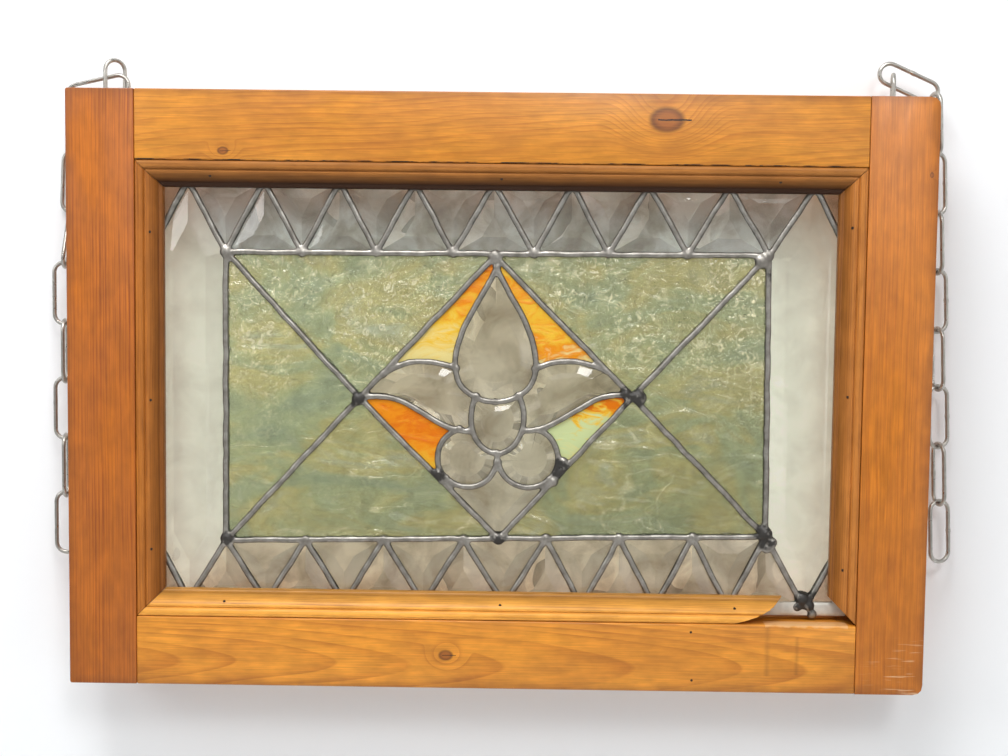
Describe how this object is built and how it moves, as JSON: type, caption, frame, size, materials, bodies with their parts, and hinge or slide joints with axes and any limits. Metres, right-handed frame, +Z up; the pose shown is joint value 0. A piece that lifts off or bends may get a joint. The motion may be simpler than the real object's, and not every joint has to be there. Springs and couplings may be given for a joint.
{
  "type": "stained glass window",
  "caption": "Small framed leaded-glass window: mitred pine beads in a butt-jointed pine frame, green field, amber and clear bevelled flower in a diamond, bevelled border, hanging chains.",
  "frame": {"origin": "middle of the frame's top edge, halfway through its thickness", "axes": "+X to the right seen from the front, +Y to the back, +Z up; the front is at -Y"},
  "size_m": [0.5545, 0.0574, 0.3766],
  "materials": {
    "pine_stile_left": "amber varnished straight-grained pine, worn",
    "pine_stile_right": "amber varnished straight-grained pine, worn at the corners",
    "pine_rail_top": "amber varnished flat-sawn pine with knots",
    "pine_rail_bottom": "amber varnished flat-sawn pine with knots",
    "pine_bead_dark": "dark varnished pine moulding",
    "pine_bead_light": "amber varnished pine moulding",
    "lead": "lumpy grey solder, dull to satin, with dark joints",
    "green_glass": "wispy rippled green art glass",
    "amber_glass": "streaky amber and cream opalescent glass",
    "clear_glass": "clear bevelled plate glass",
    "zinc": "dulled zinc plate"
  },
  "bodies": {
    "root": {"amber_lower_left": "amber_glass", "amber_lower_right": "amber_glass", "amber_upper_left": "amber_glass", "amber_upper_right": "amber_glass", "bead_bottom": "pine_bead_light", "bead_left": "pine_bead_dark", "bead_right": "pine_bead_light", "bead_top": "pine_bead_dark", "bevel_lower": "clear_glass", "chain_left": "zinc", "chain_right": "zinc", "green_left": "green_glass", "green_lower_left": "green_glass", "green_lower_right": "green_glass", "green_right": "green_glass", "green_upper_left": "green_glass", "green_upper_right": "green_glass", "heart_oval": "clear_glass", "lead_lattice": "lead", "leaf_left": "clear_glass", "leaf_right": "clear_glass", "petal_round_left": "clear_glass", "petal_round_right": "clear_glass", "petal_upper": "clear_glass", "rail_bottom": "pine_rail_bottom", "rail_top": "pine_rail_top", "stile_left": "pine_stile_left", "stile_right": "pine_stile_right", "strip_left": "clear_glass", "strip_right": "clear_glass", "triangle_bottom_01": "clear_glass", "triangle_bottom_02": "clear_glass", "triangle_bottom_03": "clear_glass", "triangle_bottom_04": "clear_glass", "triangle_bottom_05": "clear_glass", "triangle_bottom_06": "clear_glass", "triangle_bottom_07": "clear_glass", "triangle_bottom_08": "clear_glass", "triangle_bottom_09": "clear_glass", "triangle_bottom_10": "clear_glass", "triangle_bottom_11": "clear_glass", "triangle_bottom_12": "clear_glass", "triangle_bottom_13": "clear_glass", "triangle_bottom_14": "clear_glass", "triangle_bottom_15": "clear_glass", "triangle_top_01": "clear_glass", "triangle_top_02": "clear_glass", "triangle_top_03": "clear_glass", "triangle_top_04": "clear_glass", "triangle_top_05": "clear_glass", "triangle_top_06": "clear_glass", "triangle_top_07": "clear_glass", "triangle_top_08": "clear_glass", "triangle_top_09": "clear_glass", "triangle_top_10": "clear_glass", "triangle_top_11": "clear_glass", "triangle_top_12": "clear_glass", "triangle_top_13": "clear_glass", "triangle_top_14": "clear_glass", "triangle_top_15": "clear_glass"}
  },
  "joints": []
}
